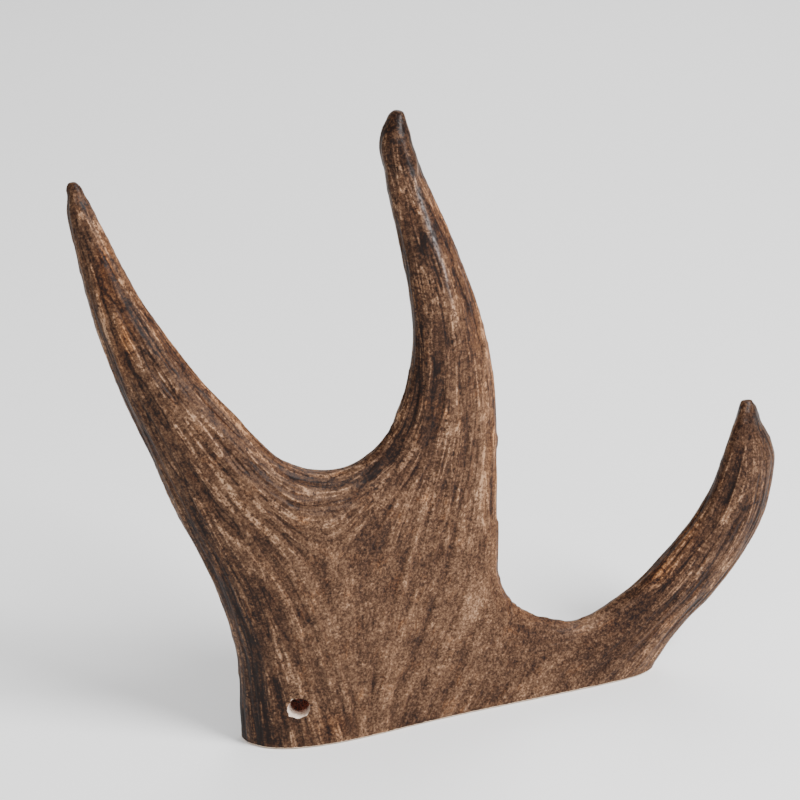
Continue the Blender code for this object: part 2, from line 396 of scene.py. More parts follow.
def spread_out(field, known, rounds):
    """Smooths a field inside the known cells and carries it past their edge."""
    held = known.astype(float)
    value = field * held
    for _ in range(rounds):
        weight = neighbours(held) + held
        value = np.where(weight > 0, (neighbours(value) + value) / np.maximum(weight, 1e-9), 0.0)
        held = (weight > 0).astype(float)
        value = value * held
    return value


# Lean of the growth lines where they meet the sawn base: share of the base, degrees
BASE_LEANS = ((0.0, -5.0), (0.12, -9.0), (0.19, -19.0), (0.27, -10.0), (0.33, 0.0),
              (0.41, 22.0), (0.55, 30.0), (0.72, 38.0), (0.86, 44.0), (1.0, 36.0))

# Lean of the lines at places inside the palm: x, z (mm), degrees
GUIDES = ((-48, 43, -21), (-54, 64, -22), (-41, 23, -19), (-33, 26, -2), (-20, 15, 22),
          (-11, 34, 26), (-2, 56, 23), (-18, 86, 17), (0, 95, 11), (4, 119, 9), (12, 85, 10),
          (12, 40, 34), (32, 44, 42), (-35, 97, 50), (-26, 107, 45), (-16, 118, 42), (-47, 109, 90),
          (-46, 98, 86), (-63, 108, -52), (-58, 94, -42))
GUIDE_REACH = 3.0 * MM
EDGE_ROUNDS = 6            # that soften the outline before its direction is read
MARGIN_ROUNDS = 6          # that carry the field past the outline


def fixed_angles(plan):
    """Direction of the growth lines where it is known, and the cells where it is."""
    inside = plan.inside
    soft = inside.astype(float)
    for _ in range(EDGE_ROUNDS):
        soft = 0.2 * (neighbours(soft) + soft)
    gx, gz = np.gradient(soft)
    edge = inside & (neighbours(inside.astype(float)) < 4.0)
    edge |= inside & (neighbours(edge.astype(float)) > 0.0)
    tangent = np.arctan2(gx, -gz)
    x, z = plan.centres()
    base = inside & (z < 2 * GRID)
    span = x[base & (z > -GRID)]
    share = (x - span.min()) / np.ptp(span)
    leans = np.array(BASE_LEANS)
    lean = np.radians(90.0 - np.interp(share, leans[:, 0], leans[:, 1]))
    angle = np.where(base, lean, tangent)
    held = edge | base
    for guide_x, guide_z, guide_lean in GUIDES:
        near = np.hypot(x - guide_x * MM, z - guide_z * MM) < GUIDE_REACH
        angle = np.where(near, math.radians(90.0 - guide_lean), angle)
        held |= near
    return angle, held


def growth_lines(plan):
    """Field of the growth lines as (cos, sin) of the doubled angle, shorter where they disagree."""
    inside = plan.inside
    angle, held = fixed_angles(plan)
    fixed = np.stack([np.cos(2 * angle), np.sin(2 * angle)])
    field = fixed * held
    weight = np.maximum(neighbours(inside.astype(float)), 1.0)
    for _ in range(RELAX_ROUNDS):
        for k in range(2):
            mean = neighbours(field[k] * inside) / weight
            field[k] = np.where(held, fixed[k], mean * inside)
    return np.stack([spread_out(field[k], inside, MARGIN_ROUNDS) for k in range(2)])


def heading(plan, lines, places, along=None):
    """Unit direction of the growth lines at plan points, turned to agree with along."""
    x, z = places.T
    angle = 0.5 * np.arctan2(plan.look(lines[1], x, z), plan.look(lines[0], x, z))
    step = np.stack([np.cos(angle), np.sin(angle)], axis=1)
    if along is None:
        flip = step[:, 1] < 0.0
    else:
        flip = (step * along).sum(axis=1) < 0.0
    step[flip] *= -1.0
    return step


LATTICE = 96               # cells each way before the noise repeats


def value_noise(lattice, places):
    """Trilinear noise from a wrapped lattice of random numbers, at places in cells."""
    size = lattice.shape[0]
    whole = np.floor(places).astype(int)
    part = places - whole
    part = part * part * (3.0 - 2.0 * part)
    total = 0.0
    for corner in range(8):
        offset = np.array([(corner >> k) & 1 for k in range(3)])
        index = (whole + offset) % size
        weight = np.where(offset, part, 1.0 - part).prod(axis=1)
        total = total + weight * lattice[index[:, 0], index[:, 1], index[:, 2]]
    return total


def trace(plan, lines, places):
    """Plan points along the growth line through each place: TRACE_STEPS back, here, and ahead."""
    start = places[:, :2]
    ways = []
    for turn in (-1.0, 1.0):
        at = start.copy()
        along = turn * heading(plan, lines, at)
        way = []
        for _ in range(TRACE_STEPS):
            along = heading(plan, lines, at, along)
            at = at + along * TRACE_STEP
            way.append(at.astype(np.float32))
        ways.append(way)
    return ways[0][::-1] + [start.astype(np.float32)] + ways[1]


def streaks(paths, depth, cell, reach, seed):
    """Noise drawn out along the growth lines, with zero mean and unit spread."""
    lattice = np.random.default_rng(seed).normal(size=(LATTICE,) * 3).astype(np.float32)
    stride = max(1, int(0.8 * cell / TRACE_STEP))
    steps = int(reach / (stride * TRACE_STEP))
    total = 0.0
    for k in range(-steps, steps + 1):
        fade = 1.0 - abs(k) / (steps + 1.0)
        spot = np.concatenate([paths[TRACE_STEPS + k * stride], depth[:, None]], axis=1)
        total = total + fade * value_noise(lattice, spot / cell)
    total = total - total.mean()
    return total / total.std()


def plan_places(plan, points):
    """Points as (x, z, depth from the middle surface)."""
    middle = plan.look(plan.middle, points[:, 0], points[:, 2])
    return np.stack([points[:, 0], points[:, 2], points[:, 1] - middle], axis=1)


# Calm areas of the palm: x, z, half width, half height (mm), share of the lines lost
CALM = ((-8, 46, 42, 44, 0.8), (55, 22, 40, 24, 0.6))


def order_at(plan, lines, points):
    """How strongly the surface is lined: 1 along free edges, low where the lines disagree."""
    strength = np.hypot(lines[0], lines[1])
    order = np.clip(plan.look(strength, points[:, 0], points[:, 2]), 0.0, 1.0)
    for x, z, wide, high, share in CALM:
        away = ((points[:, 0] / MM - x) / wide) ** 2 + ((points[:, 2] / MM - z) / high) ** 2
        order = order * (1.0 - share * np.exp(-away))
    return order


TIP_REACH = 42.0 * MM
TIP_WEAR = (0.35, 1.0, 0.9)     # left, middle and right tine


def tip_share(points):
    """How worn and dark a tine is towards its tip: 0 some way down it."""
    share = np.zeros(len(points))
    for tip, wear in zip(tine_tips, TIP_WEAR):
        away = np.linalg.norm(points - tip, axis=1)
        share = np.maximum(share, wear * np.clip(1.0 - away / TIP_REACH, 0.0, 1.0))
    return share


def tips_of(points):
    """The ends of the three tines: the highest points, one in each third of the width."""
    thirds = np.linspace(cad_box[0][0], cad_box[1][0], 4)
    tips = []
    for start, stop in zip(thirds[:-1], thirds[1:]):
        some = points[(points[:, 0] >= start) & (points[:, 0] <= stop)]
        tips.append(some[some[:, 2].argmax()])
    return tips


outside, cavity = split_shell(frame["nodes"]["cortex"])
skin = dense_skin(outside)
body_points = points_of(skin.data)
tine_tips = tips_of(body_points)
plan = Plan(body_points)
lines = growth_lines(plan)

CALM_FOOT = 6.0 * MM       # the relief fades to LEAST_RELIEF over this height above the cut
LEAST_RELIEF = 0.15
UNORDERED_RIDGES = 0.2     # share of the ridges' height where the lines disagree
TIP_POLISH = 0.8           # share of the relief worn off at the tips


def carve_relief(mesh):
    """Raises ridges and fine grain along the growth lines, and breaks the sawn edge."""
    points = points_of(mesh)
    normals = normals_of(mesh)
    places = plan_places(plan, points)
    paths = trace(plan, lines, places)
    ridge = streaks(paths, places[:, 2], *RIDGE_STREAKS)
    grain = streaks(paths, places[:, 2], *GRAIN_STREAKS)
    share = UNORDERED_RIDGES + (1.0 - UNORDERED_RIDGES) * order_at(plan, lines, points)
    polish = 1.0 - TIP_POLISH * tip_share(points)
    calm = np.clip(points[:, 2] / CALM_FOOT, LEAST_RELIEF, 1.0)
    lift = (RIDGE_HEIGHT * ridge * share + GRAIN_HEIGHT * grain) * polish * calm
    lift += crest_height(points, normals, CREST_REACH)
    flat = normals.copy()
    flat[:, 2] = 0.0
    flat /= np.maximum(np.linalg.norm(flat, axis=1), 1e-6)[:, None]
    chamfer = np.clip(CHAMFER - points[:, 2], 0.0, 2 * CHAMFER)
    set_points(mesh, points + normals * lift[:, None] - flat * chamfer[:, None])


def line_round(mesh, level):
    """Cuts an edge line into the mesh at one height."""
    shape = bmesh.new()
    shape.from_mesh(mesh)
    parts = shape.verts[:] + shape.edges[:] + shape.faces[:]
    bmesh.ops.bisect_plane(shape, geom=parts, plane_co=(0.0, 0.0, level), plane_no=(0.0, 0.0, 1.0))
    shape.to_mesh(mesh)
    shape.free()


line_round(skin.data, CHAMFER)
carve_relief(skin.data)


def material_slots(thing, *materials):
    thing.data.materials.clear()
    for material in materials:
        thing.data.materials.append(material)


def cutter(name, mesh):
    """A solid to take away, which leaves sawn faces."""
    thing = new_object(name, mesh)
    material_slots(thing, saw_paint)
    return thing


def take_away(thing, tools):
    """Subtracts the tools one after another and applies the result."""
    for tool in tools:
        cut = thing.modifiers.new(tool.name, "BOOLEAN")
        cut.operation = "DIFFERENCE"
        cut.solver = "MANIFOLD"
        cut.material_mode = "TRANSFER"
        cut.object = tool
    baked(thing)
    for tool in tools:
        bpy.data.objects.remove(tool)


antler_paint = bpy.data.materials.new("antler_paint")
saw_paint = bpy.data.materials.new("saw_paint")
for paint in (antler_paint, saw_paint):
    paint.use_nodes = True


def block_below():
    """Everything under the plane of the saw cut, well past the foot."""
    wide = 2 * (cad_box[1][0] - cad_box[0][0])
    deep = 10 * FOOT
    shape = bmesh.new()
    bmesh.ops.create_cube(shape, size=1.0)
    bmesh.ops.scale(shape, verts=shape.verts, vec=(wide, wide, deep))
    bmesh.ops.translate(shape, verts=shape.verts, vec=(0.0, 0.0, -deep / 2))
    return to_mesh("saw_block", shape)


DRILL_SIDES = 96
MOUTH_RADIUS = 4.4 * MM    # the hole is worn a little wider than the drill, and upward
MOUTH_RISE = 0.5 * MM
MOUTH_RINGS = 11           # fine rings round each surface, and coarse ones between them
INNER_RINGS = 12
INNER_FROM = 3.4 * MM
BORE_ROUGHNESS = 0.03 * MM
CHIP_ROUGHNESS = 0.25      # share of a chip's reach
BACK_TURN = 77.0           # degrees that the chips at the back are turned by
# Chips round the mouth of the hole: angle in degrees, width in degrees, how far out and how deep
CHIPS = ((126.0, 9.0, 1.2 * MM, 0.8 * MM), (185.0, 34.0, 0.6 * MM, 0.9 * MM),
         (225.0, 18.0, 0.5 * MM, 0.7 * MM), (262.0, 14.0, 0.7 * MM, 0.9 * MM),
         (312.0, 10.0, 1.0 * MM, 0.7 * MM), (30.0, 26.0, 0.4 * MM, 0.5 * MM))


def drill_radius(turn, inward, chips_turned, rough):
    """Radius of the hole at one angle (degrees), this far inside the nearer surface."""
    radius = MOUTH_RADIUS + BORE_ROUGHNESS * rough
    for middle, wide, out, deep in CHIPS:
        away = (turn - middle - chips_turned + 180.0) % 360.0 - 180.0
        share = math.exp(-(away / wide) ** 2) * max(0.0, 1.0 - max(inward, 0.0) / deep)
        radius += out * share * (1.0 + CHIP_ROUGHNESS * rough)
    return radius


def drill(front, back):
    """Cutter of the hole along Y, chipped where it breaks the front and back surfaces."""
    mouth = np.array([-10.0, -1.5, *np.linspace(-0.6, 2.4, MOUTH_RINGS)]) * MM
    depths = [*(front + mouth),
              *np.linspace(front + INNER_FROM, back - INNER_FROM, INNER_RINGS),
              *(back - mouth[::-1])]
    shape = bmesh.new()
    noise = np.random.default_rng(5).normal(size=DRILL_SIDES)
    noise = 0.5 * (noise + np.roll(noise, 1))
    rings = []
    for depth in depths:
        inward = min(depth - front, back - depth)
        chips_turned = 0.0 if depth - front < back - depth else BACK_TURN
        ring = []
        for k in range(DRILL_SIDES):
            turn = math.tau * k / DRILL_SIDES
            radius = drill_radius(math.degrees(turn), inward, chips_turned, noise[k])
            ring.append(shape.verts.new((hole[0] + radius * math.cos(turn), depth,
                                         hole[2] + MOUTH_RISE + radius * math.sin(turn))))
        rings.append(ring)
    for near, far in zip(rings[:-1], rings[1:]):
        for k in range(DRILL_SIDES):
            j = (k + 1) % DRILL_SIDES
            shape.faces.new((near[k], near[j], far[j], far[k]))
    shape.faces.new(list(reversed(rings[0])))
    shape.faces.new(rings[-1])
    bmesh.ops.recalc_face_normals(shape, faces=shape.faces)
    return to_mesh("drill", shape)


def surface_at_hole(mesh):
    """y of the front and the back surface on the hole's axis."""
    tree = BVHTree.FromPolygons([v.co for v in mesh.vertices],
                                [p.vertices for p in mesh.polygons])
    near = tree.ray_cast(Vector((hole[0], -1.0, hole[2])), Vector((0.0, 1.0, 0.0)))[0].y
    far = tree.ray_cast(Vector((hole[0], 1.0, hole[2])), Vector((0.0, -1.0, 0.0)))[0].y
    return near, far


hole_front, hole_back = surface_at_hole(skin.data)
material_slots(skin, antler_paint)
take_away(skin, (cutter("cavity", to_mesh("cavity", closed_below(cavity, 2 * FOOT))),
                 cutter("saw_block", block_below()),
                 cutter("drill", drill(hole_front, hole_back))))
skin.name = "antler"


def store(mesh, name, values):
    """Keeps a number or a vector for every vertex, for the paint to read."""
    kind = "FLOAT" if values.ndim == 1 else "FLOAT_VECTOR"
    made = mesh.attributes.new(name, kind, "POINT")
    field = "value" if values.ndim == 1 else "vector"
    made.data.foreach_set(field, values.astype(np.float32).ravel())


# Broad changes of tone on the front: x, z, half width, half height (mm), amount
# The dark patches down the left-hand side of the middle tine and along the left-hand edges, and the
# pale ones on its right-hand side, are partly painted shade and painted light from the lamp on the
# right.
TONE_AND_SHADE_PATCHES = ((-9, 180, 8, 26, -0.30), (-8, 142, 10, 22, -0.18), (-22, 120, 14, 10, -0.16),
           (17, 139, 7, 24, 0.18), (17, 106, 9, 18, 0.16), (-119, 166, 10, 30, -0.15),
           (-96, 95, 9, 30, -0.16), (-78, 60, 8, 26, -0.24), (-76, 12, 12, 24, -0.26),
           (94, 38, 17, 12, -0.28), (128, 84, 9, 14, -0.16), (70, 18, 17, 10, -0.14),
           (117, 66, 9, 12, -0.12), (10, 42, 18, 16, 0.13), (-59, 76, 14, 16, 0.12),
           (-59, 118, 12, 6, -0.12), (-36, 115, 12, 5, -0.12), (-19, 234, 5, 20, -0.12))

# Amber areas on the front: x, z, half width, half height (mm), amount
WARM = ((-130, 204, 4, 16, 0.9), (-123, 176, 4, 14, 0.7), (92, 50, 9, 7, 0.9),
        (106, 66, 6, 10, 0.7), (23, 120, 4, 34, 0.6), (36, 58, 7, 7, 0.6),
        (-44, 9, 10, 6, 0.4), (15, 168, 5, 14, 0.5))


def spots(points, normals, places):
    """Sum of soft spots on the front, each with its own size and amount."""
    total = np.zeros(len(points))
    for x, z, wide, high, amount in places:
        away = ((points[:, 0] / MM - x) / wide) ** 2 + ((points[:, 2] / MM - z) / high) ** 2
        total += amount * np.exp(-away)
    return total * np.clip(0.5 - 2.0 * normals[:, 1], 0.0, 1.0)


def anchor_name(k):
    """Name of the place k anchors ahead along the growth line."""
    return "here" if k == 0 else ("ahead" if k > 0 else "behind") + str(abs(k))


def mark_growth(mesh):
    """Stores what the paint follows: relief, order, tips, spots, the polished crest with its
    painted highlight, the right-facing edges that get a painted highlight, and places along lines.
    """
    points = points_of(mesh)
    normals = normals_of(mesh)
    places = plan_places(plan, points)
    paths = trace(plan, lines, places)
    store(mesh, "ridge", streaks(paths, places[:, 2], *RIDGE_STREAKS))
    store(mesh, "grain", streaks(paths, places[:, 2], *GRAIN_STREAKS))
    store(mesh, "order", order_at(plan, lines, points))
    store(mesh, "tip", tip_share(points))
    # Broad tone, partly painted shade down the left-hand sides and painted light on the middle
    # tine's right
    store(mesh, "patch", spots(points, normals, TONE_AND_SHADE_PATCHES))
    store(mesh, "warm", spots(points, normals, WARM))
    # Polish and painted highlight along the crest: it lowers the roughness and paints a pale grey
    # highlight into the colour
    store(mesh, "worn", crest_height(points, normals, POLISH_AND_HIGHLIGHT_REACH) / MM)
    # Painted highlight: how much an edge faces right, towards the key lamp, for an amber tint
    store(mesh, "rim", np.clip(normals[:, 0], 0.0, 1.0) * (1.0 - np.abs(normals[:, 1])))
    for k in range(-ANCHORS, ANCHORS + 1):
        plan_point = paths[TRACE_STEPS + k * ANCHOR_EVERY]
        store(mesh, anchor_name(k), np.concatenate([plan_point, places[:, 2:]], axis=1))


SHARP_ANGLE = 38.0         # degrees between faces, at the saw cut and in the hole

mark_growth(skin.data)
for face in skin.data.polygons:
    face.use_smooth = True
skin.data.set_sharp_from_angle(angle=math.radians(SHARP_ANGLE))


class Nodes:
    """Short ways to add and join shader nodes."""

    def __init__(self, material):
        self.tree = material.node_tree
        self.shader = self.tree.nodes["Principled BSDF"]

    def add(self, kind, **settings):
        node = self.tree.nodes.new(kind)
        for name, value in settings.items():
            setattr(node, name, value)
        return node

    def give(self, socket, value):
        if isinstance(value, bpy.types.NodeSocket):
            self.tree.links.new(value, socket)
        else:
            socket.default_value = value

    def attribute(self, name, output="Fac"):
        return self.add("ShaderNodeAttribute", attribute_name=name).outputs[output]

    def where(self):
        return self.add("ShaderNodeTexCoord").outputs["Object"]

    def maths(self, operation, a, b=0.0, c=0.0):
        node = self.add("ShaderNodeMath", operation=operation)
        for socket, value in zip(node.inputs, (a, b, c)):
            self.give(socket, value)
        return node.outputs[0]

    def part(self, vector, axis):
        """One coordinate of a vector."""
        node = self.add("ShaderNodeSeparateXYZ")
        self.give(node.inputs[0], vector)
        return node.outputs[axis]

    def between(self, a, b, share):
        """The point a share of the way from a to b."""
        node = self.add("ShaderNodeMix", data_type="VECTOR")
        node.inputs["Factor"].default_value = share
        self.tree.links.new(a, node.inputs[4])
        self.tree.links.new(b, node.inputs[5])
        return node.outputs[1]

    def shift(self, a, b, scale):
        """a + b * scale, for vectors."""
        node = self.add("ShaderNodeVectorMath", operation="MULTIPLY_ADD")
        self.give(node.inputs[0], b)
        node.inputs[1].default_value = (scale, scale, scale)
        self.give(node.inputs[2], a)
        return node.outputs[0]

    def noise(self, place, size, detail=2.0, roughness=0.5):
        """Noise whose features are about this size, in metres."""
        node = self.add("ShaderNodeTexNoise")
        self.give(node.inputs["Vector"], place)
        node.inputs["Scale"].default_value = 1.0 / size
        node.inputs["Detail"].default_value = detail
        node.inputs["Roughness"].default_value = roughness
        return node.outputs["Fac"]

    def remap(self, value, low, high, to_low=0.0, to_high=1.0):
        """Takes low to to_low and high to to_high, and stays between those."""
        node = self.add("ShaderNodeMapRange", clamp=True)
        self.give(node.inputs["Value"], value)
        node.inputs["From Min"].default_value = low
        node.inputs["From Max"].default_value = high
        node.inputs["To Min"].default_value = to_low
        node.inputs["To Max"].default_value = to_high
        return node.outputs["Result"]

    def mix(self, share, a, b, blend="MIX"):
        node = self.add("ShaderNodeMix", data_type="RGBA", blend_type=blend)
        self.give(node.inputs["Factor"], share)
        self.give(node.inputs["A"], a)
        self.give(node.inputs["B"], b)
        return node.outputs["Result"]

    def ramp(self, value, *stops):
        node = self.add("ShaderNodeValToRGB")
        self.give(node.inputs[0], value)
        band = node.color_ramp
        while len(band.elements) < len(stops):
            band.elements.new(0.5)
        for element, (place, shade) in zip(band.elements, stops):
            element.position = place
            element.color = shade
        return node.outputs["Color"]

    def bump(self, height, distance):
        node = self.add("ShaderNodeBump")
        self.give(node.inputs["Height"], height)
        node.inputs["Distance"].default_value = distance
        self.tree.links.new(node.outputs["Normal"], self.shader.inputs["Normal"])


def colour(red, green, blue):
    """Linear colour from the usual 0 to 255 display values."""
    parts = [c / 255.0 for c in (red, green, blue)]
    parts = [c / 12.92 if c < 0.04045 else ((c + 0.055) / 1.055) ** 2.4 for c in parts]
    return (*parts, 1.0)


# Reflectance of the antler from its darkest furrows to its palest ridges, evenly spaced
BROWN_STEPS = ((0.004, 0.0010, 0.0003), (0.011, 0.0038, 0.0014), (0.023, 0.0098, 0.0046),
               (0.039, 0.0190, 0.0105), (0.058, 0.0320, 0.0190), (0.085, 0.0500, 0.0320),
               (0.122, 0.0760, 0.0520), (0.180, 0.1150, 0.0800), (0.270, 0.1850, 0.1300))
BROWN_SPACING = 0.1176     # in tone, from one step to the next
BROWN_TINT = (1.13, 1.00, 0.84)


def brown_stops():
    """The tinted steps as (tone, colour), for a ramp."""
    stops = []
    for k, step in enumerate(BROWN_STEPS):
        tinted = [part * tint for part, tint in zip(step, BROWN_TINT)]
        stops.append((k * BROWN_SPACING, (*tinted, 1.0)))
    return stops


def drawn_out(n, size, stride, count):
    """Noise averaged along the growth line through each point: long, thin fibres."""
    anchors = [n.attribute(anchor_name(k), "Vector") for k in range(-ANCHORS, ANCHORS + 1)]
    total = None
    for k in range(-count, count + 1):
        at = k * stride / (ANCHOR_EVERY * TRACE_STEP) + ANCHORS
        low = min(int(math.floor(at)), 2 * ANCHORS - 1)
        spot = n.between(anchors[low], anchors[low + 1], at - low)
        value = n.noise(spot, size, 0.0)
        total = value if total is None else n.maths("ADD", total, value)
    return n.maths("DIVIDE", total, 2.0 * count + 1.0)


# Patterns of the skin: size of the features, detail and roughness of the noise
SPECKLE = (1.0 * MM, 2.0, 0.8)
MOTTLE = (2.4 * MM, 2.0, 0.6)
BLOTCH = (7.0 * MM, 2.0, 0.6)
REGION = (28.0 * MM, 2.0, 0.5)
AMBER_FLECK = (9.0 * MM, 3.0, 0.65)
RAGGED_EDGE = (1.5 * MM, 3.0)
# Fibres: size of the noise, stride along the line, strides each way
FIBRE = (1.2 * MM, 0.8 * MM, 14)
HAIR = (0.8 * MM, 0.45 * MM, 3)
FIBRE_GAIN = 22.0
HAIR_GAIN = 12.0

# What each pattern adds to the tone, which is the place on the ramp of browns
MIDDLE_TONE = 0.440
SPECKLE_TONE = 0.38
MOTTLE_TONE = 0.15
BLOTCH_TONE = 0.10
REGION_TONE = 0.10
HAIR_TONE = 0.04
FIBRE_TONE = 0.05
RIDGE_TONE = 0.055
GRAIN_TONE = 0.02
PALE_LINE_TONE = 0.32
FURROW_TONE = -0.25
TIP_TONE = -0.18
PALE_LEVEL = 0.75          # of the ridges, where a pale line runs along their shoulders
FURROW_LEVEL = -0.9        # of the ridges, where a dark line runs

AMBER_TINT = (1.50, 1.05, 0.55, 1.0)     # multiplies the brown
# Painted highlight: pale grey along the polished crest of the middle tine
CREST_HIGHLIGHT_COLOUR = (0.42, 0.38, 0.37, 1.0)
SCRAPED_COLOUR = (0.62, 0.48, 0.36, 1.0)
# Painted contact shadow: a dark line along the very bottom of the sawn edge
CONTACT_SHADOW_COLOUR = (0.10, 0.06, 0.04, 1.0)
EDGE_WOBBLE = 0.12 * MM
CONTACT_SHADOW_HEIGHT = (0.25 * MM, 0.45 * MM)   # the painted contact shadow ends between these heights

SPECULAR = 0.15
TIP_GLOSS = -0.14          # added to the roughness
WORN_GLOSS = -0.20


def spread_noise(n, place, size, detail, roughness):
    """Noise stretched to run from about -1 to 1."""
    return n.remap(n.noise(place, size, detail, roughness), 0.25, 0.75, -1.0, 1.0)


def centred(n, value, gain):
    """(value - 0.5) * gain"""
    return n.maths("MULTIPLY_ADD", value, gain, -gain / 2)


def contour(n, value, level, half, fade):
    """1 where a value is within half of a level, and 0 past the fade."""
    away = n.maths("ABSOLUTE", n.maths("SUBTRACT", value, level))
    return n.remap(away, half, fade, 1.0, 0.0)


def skin_patterns(n):
    """The patterns that the skin's tone, colour, gloss and bump are mixed from."""
    place = n.where()
    p = SimpleNamespace(place=place)
    for name in ("ridge", "grain", "order", "tip", "rim", "patch", "warm", "worn"):
        setattr(p, name, n.attribute(name))
    p.fibre = centred(n, drawn_out(n, *FIBRE), FIBRE_GAIN)
    p.hair = centred(n, drawn_out(n, *HAIR), HAIR_GAIN)
    p.speckle = spread_noise(n, place, *SPECKLE)
    p.mottle = spread_noise(n, place, *MOTTLE)
    p.blotch = spread_noise(n, place, *BLOTCH)
    p.region = spread_noise(n, place, *REGION)
    p.lined = n.remap(p.order, 0.45, 0.95)
    p.worn = n.maths("MULTIPLY", n.maths("POWER", n.remap(p.worn, 0.0, 1.3), 2.2),
                     n.remap(n.maths("ADD", p.hair, p.speckle), -1.2, 0.9, 0.15, 1.0))
    return p


def pale_lines(n, p):
    """Broken pale lines: the palest fibres, and the shoulders of the ridges."""
    broken = n.remap(n.maths("ADD", p.mottle, p.speckle), -0.9, 0.1)
    shoulders = contour(n, p.ridge, PALE_LEVEL, 0.06, 0.30)
    pale = n.maths("MAXIMUM", n.remap(p.fibre, 0.75, 1.6), shoulders)
    return n.maths("MULTIPLY", n.maths("MULTIPLY", pale, broken), p.lined)


def furrows(n, p):
    """Dark lines: the darkest fibres, and the sides of the troughs."""
    troughs = contour(n, p.ridge, FURROW_LEVEL, 0.06, 0.35)
    dark = n.maths("MAXIMUM", n.remap(p.fibre, -0.8, -1.7), troughs)
    return n.maths("MULTIPLY", dark, p.lined)


def skin_tone(n, p):
    """Place on the ramp of browns, from dark to pale."""
    free = n.remap(p.lined, 0.0, 1.0, 0.30, 1.0)
    even = n.remap(p.lined, 0.0, 1.0, 1.0, 0.8)
    tone = n.maths("MULTIPLY_ADD", n.maths("MULTIPLY", p.speckle, even),
                   SPECKLE_TONE, MIDDLE_TONE)
    for pattern, amount in ((p.mottle, MOTTLE_TONE), (p.blotch, BLOTCH_TONE),
                            (p.region, REGION_TONE),
                            (n.maths("MULTIPLY", p.hair, free), HAIR_TONE),
                            (n.maths("MULTIPLY", p.fibre, free), FIBRE_TONE),
                            (p.ridge, RIDGE_TONE), (p.grain, GRAIN_TONE),
                            (pale_lines(n, p), PALE_LINE_TONE), (furrows(n, p), FURROW_TONE),
                            (p.tip, TIP_TONE)):
        tone = n.maths("MULTIPLY_ADD", pattern, amount, tone)
    # The broad patches, partly painted shade and painted light
    return n.maths("ADD", p.patch, tone)


def amber_share(n, p):
    """How amber the skin is: in flecks, as a painted highlight on the edges that face right towards
    the key lamp, and in the WARM areas.
    """
    flecks = n.maths("MULTIPLY", n.remap(n.noise(p.place, *AMBER_FLECK), 0.50, 0.68),
                     n.remap(p.hair, -0.5, 1.2))
    # Painted amber highlight on the right-facing edges, fading towards the tips
    rim = n.maths("MULTIPLY", p.rim, n.remap(p.tip, 0.0, 0.5, 0.8, 0.0))
    warm = n.maths("MULTIPLY", p.warm, n.remap(p.fibre, -1.0, 0.6, 0.2, 1.0))
    amber = n.maths("MAXIMUM", n.maths("MULTIPLY", flecks, 0.5), rim)
    return n.maths("MAXIMUM", amber, warm)


def with_scraped_edge(n, place, brown):
    """Shows pale antler on the bevel of the saw cut, with a painted contact shadow as a dark line
    at the very bottom.
    """
    height = n.part(place, "Z")
    wobble = n.remap(n.noise(place, *RAGGED_EDGE), 0.3, 0.7, -EDGE_WOBBLE, EDGE_WOBBLE)
    scraped = n.remap(n.maths("ADD", height, wobble), CHAMFER, 1.15 * CHAMFER, 1.0, 0.0)
    # Painted contact shadow along the bottom of the sawn edge
    contact_shadow = n.remap(height, *CONTACT_SHADOW_HEIGHT, 1.0, 0.0)
    return n.mix(scraped, brown, n.mix(contact_shadow, SCRAPED_COLOUR, CONTACT_SHADOW_COLOUR))


def paint_antler(material):
    """Brown, speckled skin, lined along the growth lines and polished where it is worn, with
    painted highlights along the middle tine's crest and the right-facing edges, and a painted
    contact shadow under the sawn edge.
    """
    n = Nodes(material)
    p = skin_patterns(n)
    tone = skin_tone(n, p)
    brown = n.ramp(tone, *brown_stops())
    brown = n.mix(amber_share(n, p), brown, n.mix(1.0, brown, AMBER_TINT, "MULTIPLY"))
    # Painted highlight along the crest of the middle tine, over its real polish
    brown = n.mix(n.maths("MULTIPLY", p.worn, 0.65), brown, CREST_HIGHLIGHT_COLOUR)
    n.give(n.shader.inputs["Base Color"], with_scraped_edge(n, p.place, brown))
    rough = n.maths("MULTIPLY_ADD", p.worn, WORN_GLOSS, n.remap(tone, 0.2, 0.9, 0.50, 0.64))
    n.give(n.shader.inputs["Roughness"], n.maths("MULTIPLY_ADD", p.tip, TIP_GLOSS, rough))
    n.shader.inputs["Specular IOR Level"].default_value = SPECULAR
    relief = n.maths("MULTIPLY_ADD", n.maths("MULTIPLY", p.fibre, p.lined), 0.35,
                     n.maths("MULTIPLY_ADD", p.hair, 0.20, n.maths("MULTIPLY", p.speckle, 0.25)))
    n.bump(relief, 0.10 * MM)


def paint_saw_face(material):
    """Pale cut antler, stained in places."""
    n = Nodes(material)
    place = n.where()
    grain = n.noise(place, 1.2 * MM, 4.0, 0.65)
    stain = n.noise(place, 7.0 * MM, 2.0)
    tone = n.maths("ADD", n.maths("MULTIPLY", grain, 0.6), n.maths("MULTIPLY", stain, 0.4))
    pale = n.ramp(tone, (0.3, colour(176, 146, 128)), (0.5, colour(210, 190, 174)),
                  (0.7, colour(230, 216, 202)))
    n.give(n.shader.inputs["Base Color"], pale)
    n.shader.inputs["Roughness"].default_value = 0.6
    n.bump(grain, 0.1 * MM)


PALE_DEPTH = 6.0 * MM      # of the core, below the front surface at the hole
PALE_FADE = 2.5 * MM
PORE = 1.3 * MM
PORE_STIR = 0.6 * MM
STIR_SIZE = 1.5 * MM
RED_BONE = ((0.30, 0.045, 0.012, 1.0), (0.48, 0.13, 0.06, 1.0))
# Painted shade inside the pores of the dark red core
PORE_SHADE_COLOUR = (0.012, 0.001, 0.0005, 1.0)
PALE_BONE = ((0.40, 0.27, 0.21, 1.0), (0.62, 0.48, 0.40, 1.0))


